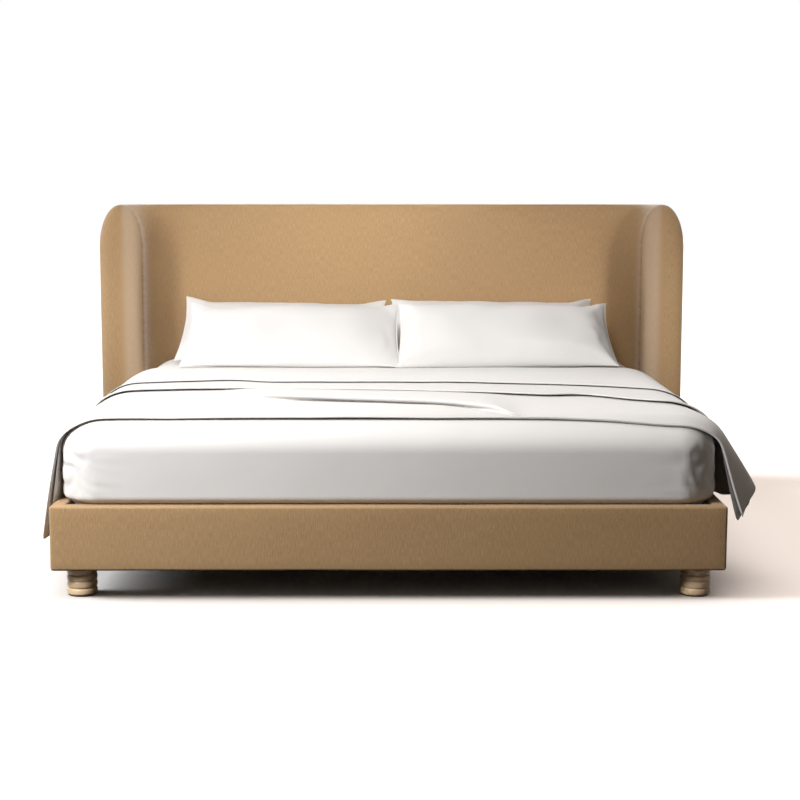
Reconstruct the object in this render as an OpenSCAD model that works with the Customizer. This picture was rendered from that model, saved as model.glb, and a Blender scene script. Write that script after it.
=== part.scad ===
// Upholstered wingback platform bed, king size, made up with mattress, bedding and pillows.
// Millimetres. Z is up, the foot end is at -Y and the headboard at +Y.
// The origin is on the floor, at the middle of the whole bed.

/* [Mattress] */
// Width of the mattress
mattress_w = 1930; // [1500:10:1930]
// Length of the mattress
mattress_l = 2030; // [1900:10:2100]
// Thickness of the mattress
mattress_t = 294; // [220:2:340]
// Radius of the mattress corners, seen from above
mattress_r = 90; // [60:5:110]
// How far the soft sides swell over the rails
mattress_bulge = 28; // [0:2:34]
// Depth by which the mattress sits below the top of the rails
mattress_sink = 46; // [20:2:60]

/* [Frame] */
// Height of the turned feet
foot_h = 88; // [70:1:140]
// Diameter of the turned feet
foot_d = 92; // [70:1:100]
// Height of the upholstered rails
rail_h = 198; // [180:1:240]
// Thickness of the upholstered rails
rail_t = 45; // [40:1:60]
// Radius of the rounded rail edges
rail_r = 12; // [6:1:18]
// Gap left between the mattress and the rails
mattress_gap = 5; // [3:1:10]

/* [Headboard] */
// Height of the top of the headboard above the floor
headboard_h = 1170; // [1000:5:1400]
// Thickness of each wing
wing_t = 182; // [150:2:220]
// Thickness of the back panel
panel_t = 100; // [90:2:130]
// Radius of the hollow corner between a wing and the back panel
corner_r = 185; // [150:5:220]
// Height over which the top outer corners of the wings are rounded
shoulder_h = 150; // [100:5:200]
// Gap between the mattress and the headboard
head_gap = 30; // [20:5:60]

/* [Slats] */
// Number of slats
slat_n = 14; // [10:1:16]
// Width of one slat
slat_w = 75; // [60:5:90]
// Thickness of one slat
slat_t = 20; // [15:1:25]

/* [Bedding] */
// Width of one pillow
pillow_w = 815; // [700:5:820]
// Depth of one pillow, measured along its face
pillow_l = 465; // [400:5:500]
// Thickness of one pillow at its middle
pillow_t = 160; // [120:5:180]
// Angle at which the pillows recline, from the horizontal
pillow_tilt = 28; // [20:1:40]
// Height of the blanket's hem above the floor
blanket_hem = 150; // [120:5:200]

/* [Hidden] */
$fn = 48;
FAR = 4000;

fabric_t = 2;
rail_foam_t = 8;
fit_gap = 0.3;

// Plan: half widths across the bed, and stations along it
rail_out = mattress_w / 2 + mattress_gap + rail_t;
rail_in = rail_out - rail_t;
wing_in = rail_out + 3;
half_w = wing_in + wing_t;
nose_x = wing_in + wing_t / 2;
bed_l = rail_t + mattress_gap + mattress_l + head_gap + panel_t;
y_foot = -bed_l / 2;
y_mattress = y_foot + rail_t + mattress_gap;
y_back = bed_l / 2;
y_face = y_back - panel_t;
y_nose = y_face - corner_r;

// Levels
z_rail = foot_h + rail_h;
z_slat = z_rail - mattress_sink;
z_ledger = z_slat - slat_t;
z_bulge = z_rail + 8;
z_top = z_slat + mattress_t;

// Feet and corner joints
block = 70;
block_h = 96;
foot_x = rail_in - block / 2;
foot_y = [y_foot + rail_t + block / 2, y_face + panel_t / 2];
pad_t = 3;
foot_bolt_r = 4;
foot_bolt_len = 90;
bolt_r = 3;
bolt_z = [foot_h + 35, foot_h + 75];
bolt_bite = 22;
bolt_shift = 12;
block_bolt_y = foot_y[0] + 16;

// Steel plates between the side rails and the headboard
plate_t = 4;
plate_l = 90;
plate_h = 80;
plate_z = foot_h + 10;
plate_bolt_z = [plate_z + 20, plate_z + 60];
plate_bolt_in = 20;
plate_bolt_len = 26;

// Slat support
ledger_w = 30;
ledger_h = 30;
ledger_screw_n = 7;
ledger_screw_r = 2.5;
ledger_screw_bite = 20;
slat_end_gap = 5;
slat_margin = 30;
slat_y0 = y_mattress + slat_margin;
slat_pitch = (mattress_l - slat_w - 2 * slat_margin) / (slat_n - 1);
slat_screw_r = 2;
slat_screw_len = 45;
slat_head_r = 5;
slat_head_h = 3;
beam_gap = 2;
beam_w = 60;
beam_h = 70;
leg_w = 45;
hanger_l = 40;
hanger_t = 2;
hanger_drop = 10;
leg_y = [-650, 0, 650];
glide_r = 18;
glide_h = 16;
glide_stem_r = 5;
glide_stem = 40;

// Headboard layers, from the inside face to the back
face_foam_t = 38;
face_board_t = 9;
back_board_t = 3;
wing_foam_t = 30;
wing_side_t = 10;
sill_h = 130;
post_w = 45;
post_n = 5;
post_x = wing_in - post_w;
post_pitch = 2 * post_x / (post_n - 1);
frame_y = y_face + fabric_t + face_foam_t + face_board_t;
frame_t = y_back - fabric_t - back_board_t - frame_y;
frame_top = headboard_h - 64;
top_rail_h = 90;
mid_rail_z = 600;
corner_z = z_rail + 6;
back_r = panel_t;
rib_t = 18;
rib_z = [110, 390, 670, 950];
seam_y = y_face + panel_t / 2;
// The hollow corner's foam stops where it would run out to a feather edge
feather = 24;
layer_x = wing_in - corner_r + feather;

// Mattress, with its top edge in steps: how far each step swells out, and how far below the top it ends
edge_steps = [[mattress_bulge, 32], [mattress_bulge - 12, 13], [-3, 0]];
sheet_t = 2;
sheet_hem_w = 120;

// Laid bedding, with the bends of its turned-down edge: how far in from the side, and how far down
cloth_outer = [[0, 36], [14, 8], [34, 0]];
cloth_inner = [[0, 36], [14, 12], [32, 0]];
lay = 0.5;
top_sheet_t = 4;
top_sheet_z = z_top + lay;
top_sheet_y = [y_mattress + 22, y_foot + 1370];
top_sheet_x = mattress_w / 2 + mattress_bulge + 8;
top_sheet_flare = 35;
top_sheet_hem = blanket_hem + 65;
blanket_t = 8;
blanket_z = top_sheet_z + top_sheet_t + lay;
blanket_y = [y_mattress + 12, y_foot + 1250];
blanket_x = top_sheet_x + 14;
blanket_flare = 57;

// Pillows, with their crown in steps: the share of the plan, and of the thickness
crown = [[0.35, 1], [0.62, 0.82]];
pillow_rim = 22;
case_t = 2.5;
case_end = 12;
fill_gap = 0.5;
pillow_z = blanket_z + blanket_t + pillow_rim + 4;
pillow_run = pillow_l * cos(pillow_tilt);
back_pillow_y = y_face - 30 - pillow_run;
front_pillow_y = back_pillow_y - pillow_t / sin(pillow_tilt) - 4;
back_pillow_x = 434;
front_pillow_x = 412;
front_shift = 30;

// ---------- helpers ----------

module both_sides() {
    children();
    mirror([1, 0, 0]) children();
}

module slab(lo, hi) {
    translate(lo) cube(hi - lo);
}

// Rectangle with rounded corners, given by its lowest and highest corners
module round_rect(lo, hi, r) {
    size = hi - lo;
    translate(lo + [r, 0]) square([size[0] - 2 * r, size[1]]);
    translate(lo + [0, r]) square([size[0], size[1] - 2 * r]);
    for (x = [lo[0] + r, hi[0] - r], y = [lo[1] + r, hi[1] - r]) translate([x, y]) circle(r = r);
}

// ---------- feet ----------

// Four stacked turned rings, each with soft shoulders
module turned_foot(p) {
    ring_n = 4;
    ring_h = (foot_h - pad_t) / ring_n;
    groove = 3;
    edge = 4;
    color("burlywood") translate([p[0], p[1], pad_t]) difference() {
        rotate_extrude() for (i = [0:ring_n - 1]) translate([0, i * ring_h]) polygon([
            [0, 0], [foot_d / 2 - groove, 0], [foot_d / 2 - 1, edge / 2], [foot_d / 2, edge],
            [foot_d / 2, ring_h - edge], [foot_d / 2 - 1, ring_h - edge / 2],
            [foot_d / 2 - groove, ring_h], [0, ring_h]
        ]);
        translate([0, 0, foot_h - pad_t - foot_bolt_len / 2])
            cylinder(r = foot_bolt_r + fit_gap, h = foot_bolt_len);
    }
}

module foot_front_left() { turned_foot([-foot_x, foot_y[0]]); }

module foot_front_right() { turned_foot([foot_x, foot_y[0]]); }

module foot_rear_left() { turned_foot([-foot_x, foot_y[1]]); }

module foot_rear_right() { turned_foot([foot_x, foot_y[1]]); }

module foot_pads() {
    color("dimgray") for (x = [-foot_x, foot_x], y = foot_y)
        translate([x, y, 0]) cylinder(r = foot_d / 2 - 4, h = pad_t);
}

// Hanger bolts that hold the feet to the corner blocks and to the headboard sill
module foot_bolts() {
    color("silver") for (x = [-foot_x, foot_x], y = foot_y)
        translate([x, y, foot_h - foot_bolt_len / 2 + 1]) cylinder(r = foot_bolt_r, h = foot_bolt_len - 2);
}

// ---------- rails ----------

// Cross-section of a rail standing in the first quadrant, drawn inwards by d
module rail_section(d) {
    round_rect([d, d], [rail_t - d, rail_h - d], max(rail_r - d, 1));
}

// Timber core: what is left behind the foam on the outer face
module core_section() {
    intersection() {
        rail_section(fabric_t);
        translate([fabric_t + rail_foam_t, 0]) square([rail_t, rail_h]);
    }
}

module foam_section() {
    intersection() {
        rail_section(fabric_t);
        square([fabric_t + rail_foam_t, rail_h]);
    }
}

module cover_section() {
    difference() {
        rail_section(0);
        rail_section(fabric_t);
    }
}

// The foot rail runs right across, with its outer face to the foot
module along_foot(inset) {
    translate([inset - rail_out, y_foot, foot_h]) rotate([90, 0, 90])
        linear_extrude(2 * (rail_out - inset)) children();
}

// A side rail runs from the foot rail to the headboard, with its outer face outwards
module along_side() {
    translate([rail_out, y_face, foot_h]) rotate([90, 0, 0])
        linear_extrude(y_face - y_foot - rail_t) mirror([1, 0]) children();
}

module foot_rail_core() {
    color("tan") difference() {
        along_foot(fabric_t) core_section();
        both_sides() corner_bolt_holes();
    }
}

module foot_rail_foam() { color("khaki") along_foot(fabric_t) foam_section(); }

// The foot rail's cover also closes both ends of the rail
module foot_rail_cover() {
    color("peru") difference() {
        along_foot(0) rail_section(0);
        along_foot(fabric_t) rail_section(fabric_t);
        both_sides() corner_bolt_holes();
    }
}

module right_rail_core() {
    color("tan") difference() {
        along_side() core_section();
        side_holes();
    }
}

module right_rail_foam() { color("khaki") along_side() foam_section(); }

module right_rail_cover() {
    color("peru") difference() {
        along_side() cover_section();
        side_holes();
    }
}

module left_rail_core() { mirror([1, 0, 0]) right_rail_core(); }

module left_rail_foam() { mirror([1, 0, 0]) right_rail_foam(); }

module left_rail_cover() { mirror([1, 0, 0]) right_rail_cover(); }

// ---------- corner joints ----------

// Bolts through a corner block into the foot rail, and others into the side rail
module corner_bolt(r, grip) {
    reach = block + bolt_bite;
    for (z = bolt_z) translate([foot_x - bolt_shift, foot_y[0] - reach + block / 2, z])
        rotate([-90, 0, 0]) cylinder(r = r, h = reach + grip);
    for (z = bolt_z) translate([foot_x - block / 2 - grip, block_bolt_y, z + bolt_shift])
        rotate([0, 90, 0]) cylinder(r = r, h = reach + grip);
}

module corner_bolt_holes() { corner_bolt(bolt_r + fit_gap, 1); }

module corner_blocks() {
    color("wheat") both_sides() difference() {
        slab([foot_x - block / 2, foot_y[0] - block / 2, foot_h],
             [foot_x + block / 2, foot_y[0] + block / 2, foot_h + block_h]);
        corner_bolt_holes();
        translate([foot_x, foot_y[0], foot_h - 1])
            cylinder(r = foot_bolt_r + fit_gap, h = foot_bolt_len / 2 + 1);
    }
}

module corner_bolts() { color("silver") both_sides() corner_bolt(bolt_r, 0); }

// Bolts of one steel end plate: two into the rail core and two into the headboard sill
module plate_bolt(r, grip) {
    for (z = plate_bolt_z) {
        translate([rail_in - plate_t - grip, y_face - plate_l + plate_bolt_in, z])
            rotate([0, 90, 0]) cylinder(r = r, h = plate_bolt_len + grip);
        translate([rail_in - plate_l + plate_bolt_in, y_face - plate_t - grip, z])
            rotate([-90, 0, 0]) cylinder(r = r, h = plate_bolt_len + grip);
    }
}

module side_holes() {
    corner_bolt_holes();
    plate_bolt(bolt_r + fit_gap, 1);
    ledger_screw(ledger_screw_r + fit_gap, 1);
}

// Angle plates that hold each side rail to the headboard sill
module rail_end_plates() {
    color("gray") both_sides() difference() {
        union() {
            slab([rail_in - plate_t, y_face - plate_l, plate_z], [rail_in, y_face, plate_z + plate_h]);
            slab(
                [rail_in - plate_l, y_face - plate_t, plate_z],
                [rail_in - plate_t, y_face, plate_z + plate_h]
            );
        }
        plate_bolt(bolt_r + fit_gap, 1);
    }
}

module plate_bolts() { color("silver") both_sides() plate_bolt(bolt_r, 0); }

// ---------- slat support ----------

// Screws through a ledger into its rail
module ledger_screw(r, grip) {
    pitch = (y_face - y_foot - rail_t) / ledger_screw_n;
    for (i = [0:ledger_screw_n - 1])
        translate([rail_in - ledger_w - grip, y_foot + rail_t + (i + 0.5) * pitch, z_ledger - ledger_h / 2])
            rotate([0, 90, 0]) cylinder(r = r, h = ledger_w + ledger_screw_bite + grip);
}

module right_ledger() {
    color("wheat") difference() {
        slab([rail_in - ledger_w, y_foot + rail_t, z_ledger - ledger_h], [rail_in, y_face, z_ledger]);
        ledger_screw(ledger_screw_r + fit_gap, 1);
    }
}

module left_ledger() { mirror([1, 0, 0]) right_ledger(); }

module ledger_screws() { color("silver") both_sides() ledger_screw(ledger_screw_r, 0); }

module slats() {
    half = rail_in - slat_end_gap;
    color("wheat") difference() {
        for (i = [0:slat_n - 1]) translate([-half, slat_y0 + i * slat_pitch, z_ledger])
            cube([2 * half, slat_w, slat_t]);
        slat_screw(fit_gap, 1);
    }
}

// Countersunk screws through the middle of the slats into the centre beam
module slat_screw(d, grip) {
    for (i = [0:slat_n - 1]) translate([0, slat_y0 + i * slat_pitch + slat_w / 2, z_slat - slat_screw_len]) {
        cylinder(r = slat_screw_r + d, h = slat_screw_len - slat_head_h);
        translate([0, 0, slat_screw_len - slat_head_h - d])
            cylinder(r = slat_head_r + d, h = slat_head_h - fit_gap + d + grip);
    }
}

module slat_screws() { color("silver") slat_screw(0, 0); }

module centre_beam() {
    side = beam_w / 2;
    color("wheat") difference() {
        slab([-side, y_foot + rail_t + beam_gap, z_ledger - beam_h], [side, y_face - beam_gap, z_ledger]);
        slat_screw(fit_gap, 0);
    }
}

// U-shaped steel hangers at both ends of the centre beam
module beam_hanger() {
    side = beam_w / 2;
    base = z_ledger - beam_h;
    difference() {
        slab([-side - hanger_t, 0, base - hanger_t], [side + hanger_t, hanger_l, z_ledger - hanger_drop]);
        slab([-side, hanger_t, base], [side, hanger_l + 1, z_ledger]);
    }
}

module beam_hangers() {
    color("gray") {
        translate([0, y_foot + rail_t, 0]) beam_hanger();
        translate([0, y_face, 0]) mirror([0, 1, 0]) beam_hanger();
    }
}

module centre_legs() {
    color("wheat") for (y = leg_y) difference() {
        slab([-leg_w / 2, y - leg_w / 2, glide_h], [leg_w / 2, y + leg_w / 2, z_ledger - beam_h]);
        translate([0, y, 0]) cylinder(r = glide_stem_r + fit_gap, h = glide_h + glide_stem + 2);
    }
}

// Levelling glide: a broad foot on a threaded stem, screwed right in
module centre_glide(y) {
    color("dimgray") translate([0, y, 0]) {
        cylinder(r = glide_r, h = glide_h - fit_gap);
        cylinder(r = glide_stem_r, h = glide_h + glide_stem);
    }
}

module centre_glide_1() { centre_glide(leg_y[0]); }

module centre_glide_2() { centre_glide(leg_y[1]); }

module centre_glide_3() { centre_glide(leg_y[2]); }

// ---------- headboard shape ----------

// Plan of the right half of the headboard. The inside faces are drawn back by front,
// the outside faces by back, and the hollow corner is round only if hollow is true.
module half_plan(front, back, hollow) {
    x_in = wing_in + front;
    x_out = half_w - back;
    difference() {
        union() {
            translate([0, y_nose]) square([half_w - back_r, y_back - back - y_nose]);
            translate([0, y_nose]) square([x_out, y_back - back_r - y_nose]);
            translate([half_w - back_r, y_back - back_r]) circle(r = back_r - back);
        }
        if (hollow) {
            translate([-1, y_nose - 1]) square([wing_in - corner_r + 1, corner_r + front + 1]);
            translate([wing_in - corner_r, y_nose]) circle(r = corner_r + front);
        } else {
            translate([-1, y_nose - 1]) square([x_in + 1, corner_r + front + 1]);
        }
    }
    translate([(x_in + x_out) / 2, y_nose]) circle(r = (x_out - x_in) / 2);
}

// Front outline of the headboard, with rounded shoulders, drawn in by d
module elevation(d) {
    steps = 12;
    a = wing_t / 2;
    z = headboard_h - shoulder_h;
    right = [for (i = [0:steps])
        [half_w - a + (a - d) * cos(90 * i / steps), z + (shoulder_h - d) * sin(90 * i / steps)]];
    left = [for (i = [steps:-1:0]) [-right[i][0], right[i][1]]];
    polygon(concat([[half_w - d, 0]], right, left, [[d - half_w, 0]]));
}

// The whole headboard as one block, drawn back from its faces. Below corner_z the inside
// corners are square, so that the side rails reach the sill.
module headboard_block(front, back, low) {
    high = headboard_h - back;
    intersection() {
        both_sides() {
            translate([0, 0, low]) linear_extrude(corner_z - low) half_plan(front, back, false);
            translate([0, 0, corner_z]) linear_extrude(high - corner_z) half_plan(front, back, true);
        }
        translate([0, FAR / 2, 0]) rotate([90, 0, 0]) linear_extrude(FAR) elevation(back);
    }
}

// The fabric skin over the whole headboard, open at the bottom
module skin() {
    difference() {
        headboard_block(0, 0, foot_h);
        headboard_block(fabric_t, fabric_t, foot_h - 1);
    }
}

// Inside of the headboard: the back panel's face, the hollow corners and the wings' inner faces
module inside_zone() {
    slab([-nose_x, y_nose, 0], [nose_x, seam_y, FAR]);
}

module headboard_inside_cover() {
    color("peru") difference() {
        intersection() {
            skin();
            inside_zone();
        }
        both_sides() plate_bolt(bolt_r + fit_gap, 1);
    }
}

// Facing on the inner half of the left wing's round front edge
module left_wing_facing() {
    color("rosybrown") intersection() {
        skin();
        slab([-nose_x, y_nose - wing_t, 0], [0, y_nose, FAR]);
    }
}

module right_wing_facing() { mirror([1, 0, 0]) left_wing_facing(); }

module headboard_outside_cover() {
    color("peru") difference() {
        skin();
        inside_zone();
        slab([-nose_x, y_nose - wing_t, 0], [nose_x, y_nose, FAR]);
        foot_holes();
    }
}

module foot_holes() {
    for (x = [-foot_x, foot_x]) translate([x, foot_y[1], 0])
        cylinder(r = foot_bolt_r + fit_gap, h = foot_h + foot_bolt_len / 2);
}

// ---------- headboard layers ----------

module headboard_sill() {
    color("tan") difference() {
        slab([-wing_in, y_face + fabric_t, foot_h], [wing_in, y_back - fabric_t, foot_h + sill_h]);
        both_sides() plate_bolt(bolt_r + fit_gap, 1);
        foot_holes();
    }
}

module headboard_posts() {
    color("tan") for (i = [0:post_n - 1])
        slab([i * post_pitch - post_x - post_w / 2, frame_y, foot_h + sill_h],
             [i * post_pitch - post_x + post_w / 2, frame_y + frame_t, frame_top - top_rail_h]);
}

module headboard_top_rail() {
    color("tan") slab([-wing_in + post_w / 2, frame_y, frame_top - top_rail_h],
                      [wing_in - post_w / 2, frame_y + frame_t, frame_top]);
}

// Short rails between the posts
module headboard_mid_rails() {
    color("tan") for (i = [0:post_n - 2])
        slab([i * post_pitch - post_x + post_w / 2, frame_y, mid_rail_z],
             [(i + 1) * post_pitch - post_x - post_w / 2, frame_y + frame_t, mid_rail_z + post_w]);
}

module headboard_face_board() {
    color("wheat") slab([-wing_in + post_w / 2, frame_y - face_board_t, foot_h + sill_h],
                        [wing_in - post_w / 2, frame_y, frame_top]);
}

module headboard_back_board() {
    color("wheat") slab([-wing_in + post_w / 2, y_back - fabric_t - back_board_t, foot_h + sill_h],
                        [wing_in - post_w / 2, y_back - fabric_t, frame_top]);
}

// Foam over the face of the back panel and rolled over its top
module headboard_foam() {
    top = headboard_h - fabric_t;
    color("khaki") difference() {
        slab([-layer_x, y_face + fabric_t, foot_h + sill_h], [layer_x, y_back - fabric_t, top]);
        slab([-FAR, frame_y - face_board_t, 0], [FAR, y_back, frame_top]);
    }
}

// Foam that fills the hollow corner between the back panel and a wing
module right_corner_foam() {
    color("khaki") difference() {
        intersection() {
            headboard_block(fabric_t, fabric_t, foot_h);
            slab([layer_x, y_nose + feather, corner_z], [wing_in + fabric_t, y_back, FAR]);
        }
        slab([-FAR, frame_y - face_board_t, 0], [FAR, y_back, frame_top]);
    }
}

module left_corner_foam() { mirror([1, 0, 0]) right_corner_foam(); }

// Space inside the wing foam that holds the wing frame
module wing_core(low, high) {
    translate([0, 0, low]) linear_extrude(high - low) intersection() {
        half_plan(wing_foam_t, wing_side_t, false);
        translate([wing_in + wing_foam_t, -FAR / 2]) square([FAR, FAR]);
    }
}

module right_wing_foam() {
    color("khaki") difference() {
        intersection() {
            headboard_block(fabric_t, fabric_t, foot_h);
            slab([wing_in + fabric_t, y_nose - wing_t, foot_h], [FAR, y_back, FAR]);
        }
        wing_core(foot_h - 1, frame_top);
    }
}

module left_wing_foam() { mirror([1, 0, 0]) right_wing_foam(); }

// Plywood ribs pierced by two upright posts
module right_wing_frame() {
    posts = [[nose_x, y_nose + post_w / 2], [nose_x, y_back - post_w]];
    side = post_w / 2;
    color("tan") {
        for (z = rib_z) difference() {
            wing_core(z, z + rib_t);
            for (p = posts) translate([p[0], p[1], z]) cube([post_w, post_w, 4 * rib_t], center = true);
        }
        for (p = posts)
            slab([p[0] - side, p[1] - side, foot_h], [p[0] + side, p[1] + side, frame_top]);
    }
}

module left_wing_frame() { mirror([1, 0, 0]) right_wing_frame(); }

// ---------- mattress and bedding ----------

// Block with the mattress's plan, grown by swell and g; at full swell it ends at the mattress's length
module mattress_block(swell, g, low, top) {
    side = swell + g;
    translate([0, 0, low]) linear_extrude(top - low) round_rect(
        [-mattress_w / 2 - side, y_mattress - side],
        [mattress_w / 2 + side, y_mattress + mattress_l - mattress_bulge + side],
        max(mattress_r + side, 20)
    );
}

// The mattress's form grown by g: it fits between the rails, and swells out over them
module mattress_form(g) {
    mattress_block(0, g, z_slat - g, (z_bulge + z_top) / 2);
    for (step = edge_steps) {
        mattress_block(step[0], g, z_bulge + mattress_bulge - step[0] - g, z_top - step[1] + g);
    }
}

module mattress() { color("whitesmoke") mattress_form(-sheet_t - fit_gap); }

// Fitted sheet: a skin with an elastic hem turned under the mattress
module fitted_sheet() {
    color("white") difference() {
        mattress_form(0);
        mattress_form(-sheet_t);
        mattress_block(0, -sheet_hem_w, z_slat - 1, z_slat + 3 * sheet_t);
    }
}

// Cloth laid over the mattress and hanging down both sides, between the stations in y
module laid_cloth(y, z, t, x_top, x_hem, z_hem) {
    outer = concat([[x_hem, z_hem]], [for (b = cloth_outer) [x_top - b[0], z + t - b[1]]]);
    inner = concat([[x_hem - t, z_hem]], [for (b = cloth_inner) [x_top - t - b[0], z - b[1]]]);
    last = len(outer) - 1;
    translate([0, y[1], 0]) rotate([90, 0, 0]) linear_extrude(y[1] - y[0]) polygon(concat(
        outer,
        [for (i = [last:-1:0]) [-outer[i][0], outer[i][1]]],
        [for (p = inner) [-p[0], p[1]]],
        [for (i = [last:-1:0]) inner[i]]
    ));
}

module top_sheet() {
    color("white") laid_cloth(
        top_sheet_y, top_sheet_z, top_sheet_t, top_sheet_x, top_sheet_x + top_sheet_flare, top_sheet_hem
    );
}

module blanket() {
    color("whitesmoke") laid_cloth(
        blanket_y, blanket_z, blanket_t, blanket_x, blanket_x + blanket_flare, blanket_hem
    );
}

// ---------- pillows ----------

// A crowned cushion lying flat, grown by d all round
module cushion(d) {
    hull() {
        for (x = [-1, 1], y = [-1, 1])
            translate([x * (pillow_w / 2 - pillow_rim), y * (pillow_l / 2 - pillow_rim), 0])
                sphere(r = pillow_rim + d, $fn = 16);
        for (c = crown)
            cube([pillow_w * c[0] + 2 * d, pillow_l * c[0] + 2 * d, pillow_t * c[1] + 2 * d], center = true);
    }
}

// Middle of a pillow whose lower edge rests on the bedding at station y
module reclined(x, y) {
    translate([x, y + pillow_run / 2, pillow_z + pillow_l / 2 * sin(pillow_tilt)])
        rotate([pillow_tilt, 0, 0]) children();
}

module pillow_fill() { color("white") cushion(-case_t - fill_gap); }

// Case around a pillow, with its open end at +X
module pillow_case() {
    color("white") difference() {
        cushion(0);
        cushion(-case_t);
        translate([pillow_w / 2 - case_end, -pillow_l, -pillow_t])
            cube([pillow_w, 2 * pillow_l, 2 * pillow_t]);
    }
}

module left_back_pillow() { reclined(-back_pillow_x, back_pillow_y) pillow_fill(); }

module left_back_pillowcase() { reclined(-back_pillow_x, back_pillow_y) mirror([1, 0, 0]) pillow_case(); }

module right_back_pillow() { reclined(back_pillow_x, back_pillow_y) pillow_fill(); }

module right_back_pillowcase() { reclined(back_pillow_x, back_pillow_y) pillow_case(); }

module left_front_pillow() { reclined(front_shift - front_pillow_x, front_pillow_y) pillow_fill(); }

module left_front_pillowcase() {
    reclined(front_shift - front_pillow_x, front_pillow_y) mirror([1, 0, 0]) pillow_case();
}

module right_front_pillow() { reclined(front_shift + front_pillow_x, front_pillow_y) pillow_fill(); }

module right_front_pillowcase() { reclined(front_shift + front_pillow_x, front_pillow_y) pillow_case(); }

// ---------- what is drawn ----------

foot_front_left();
foot_front_right();
foot_rear_left();
foot_rear_right();
foot_pads();
foot_bolts();
foot_rail_core();
foot_rail_foam();
foot_rail_cover();
left_rail_core();
left_rail_foam();
left_rail_cover();
right_rail_core();
right_rail_foam();
right_rail_cover();
corner_blocks();
corner_bolts();
rail_end_plates();
plate_bolts();
left_ledger();
right_ledger();
ledger_screws();
slats();
slat_screws();
centre_beam();
beam_hangers();
centre_legs();
centre_glide_1();
centre_glide_2();
centre_glide_3();
headboard_sill();
headboard_posts();
headboard_top_rail();
headboard_mid_rails();
headboard_face_board();
headboard_back_board();
headboard_foam();
left_wing_frame();
right_wing_frame();
left_wing_foam();
right_wing_foam();
left_corner_foam();
right_corner_foam();
headboard_inside_cover();
headboard_outside_cover();
left_wing_facing();
right_wing_facing();
mattress();
fitted_sheet();
top_sheet();
blanket();
left_back_pillow();
left_back_pillowcase();
left_front_pillow();
left_front_pillowcase();
right_back_pillow();
right_back_pillowcase();
right_front_pillow();
right_front_pillowcase();
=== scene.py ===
import math

import bmesh
import bpy
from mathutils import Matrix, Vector, noise


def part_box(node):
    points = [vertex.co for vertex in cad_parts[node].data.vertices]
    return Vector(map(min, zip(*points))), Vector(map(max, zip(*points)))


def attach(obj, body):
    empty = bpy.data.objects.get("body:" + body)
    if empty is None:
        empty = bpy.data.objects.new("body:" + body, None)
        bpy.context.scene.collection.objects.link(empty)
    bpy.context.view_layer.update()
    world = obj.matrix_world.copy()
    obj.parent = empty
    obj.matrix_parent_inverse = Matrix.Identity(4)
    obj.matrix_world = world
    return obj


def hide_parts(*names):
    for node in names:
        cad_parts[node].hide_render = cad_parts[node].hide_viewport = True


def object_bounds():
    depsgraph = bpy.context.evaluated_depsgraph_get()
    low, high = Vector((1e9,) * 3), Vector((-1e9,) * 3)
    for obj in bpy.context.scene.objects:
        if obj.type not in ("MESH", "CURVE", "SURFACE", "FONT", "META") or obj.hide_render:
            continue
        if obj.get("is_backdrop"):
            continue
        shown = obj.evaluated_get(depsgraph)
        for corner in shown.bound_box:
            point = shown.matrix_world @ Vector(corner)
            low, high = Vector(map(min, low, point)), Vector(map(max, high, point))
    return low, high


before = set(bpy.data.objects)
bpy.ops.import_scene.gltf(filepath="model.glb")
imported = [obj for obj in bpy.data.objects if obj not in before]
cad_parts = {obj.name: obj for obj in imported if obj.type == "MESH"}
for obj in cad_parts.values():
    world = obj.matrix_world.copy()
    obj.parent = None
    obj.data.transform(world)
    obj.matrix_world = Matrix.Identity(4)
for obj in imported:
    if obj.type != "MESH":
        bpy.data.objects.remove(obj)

# Upholstered wingback bed. Metres, Z up, foot end at -Y, origin on the floor at the middle of the bed.

cad_low, cad_high = (Vector(c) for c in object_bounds())
UP = Vector((0, 0, 1))


# ---------- sizes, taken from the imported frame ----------

def low_of(node):
    return Vector(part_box(node)[0])


def high_of(node):
    return Vector(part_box(node)[1])


HALF_W = cad_high.x
BACK_Y = cad_high.y
TOP_Z = cad_high.z
FOOT_TOP = low_of("foot_rail_cover").z
RAIL_TOP = high_of("foot_rail_cover").z
RAIL_OUT = high_of("right_rail_cover").x
FABRIC = 0.003
WING_IN = RAIL_OUT + FABRIC
NOSE_R = (HALF_W - WING_IN) / 2
NOSE_X = HALF_W - NOSE_R
# How squarely the wing's front turns in to the hollow, and out to the side (2 is round)
NOSE_INNER = 3.6
NOSE_OUTER = 2.1
CORNER_R = 0.185
PANEL_T = 0.100
FACE_Y = BACK_Y - PANEL_T
NOSE_Y = FACE_Y - CORNER_R
HOLLOW_X = WING_IN - CORNER_R
HOLLOW_Z = RAIL_TOP + 0.006
WING_SHOULDER = 0.185
FACE_SHOULDER = 0.165
REAR_SHOULDER = 0.066
WING_FULLNESS = 2.1
FACE_FULLNESS = 1.85
REAR_FULLNESS = 2.6

BED_Z = high_of("fitted_sheet").z
BED_BOTTOM = low_of("fitted_sheet").z
BED_FOOT = low_of("fitted_sheet").y
BED_HEAD = high_of("fitted_sheet").y
BED_SIDE = high_of("fitted_sheet").x
EDGE_A = 0.125
EDGE_B = 0.090
EDGE_Z = BED_Z - EDGE_B
CORE_X = BED_SIDE + 0.003 - EDGE_A
CORE_FOOT = BED_FOOT + EDGE_A
CORE_HEAD = BED_HEAD - EDGE_A


# ---------- small helpers ----------

def smooth(low, high, value):
    """0 below low, 1 above high, and a soft step between."""
    t = min(max((value - low) / (high - low), 0.0), 1.0)
    return t * t * (3 - 2 * t)


def bell(value, centre, width):
    """1 at the centre, falling softly to 0 a width or two away."""
    return math.exp(-((value - centre) / width) ** 2)


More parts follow.
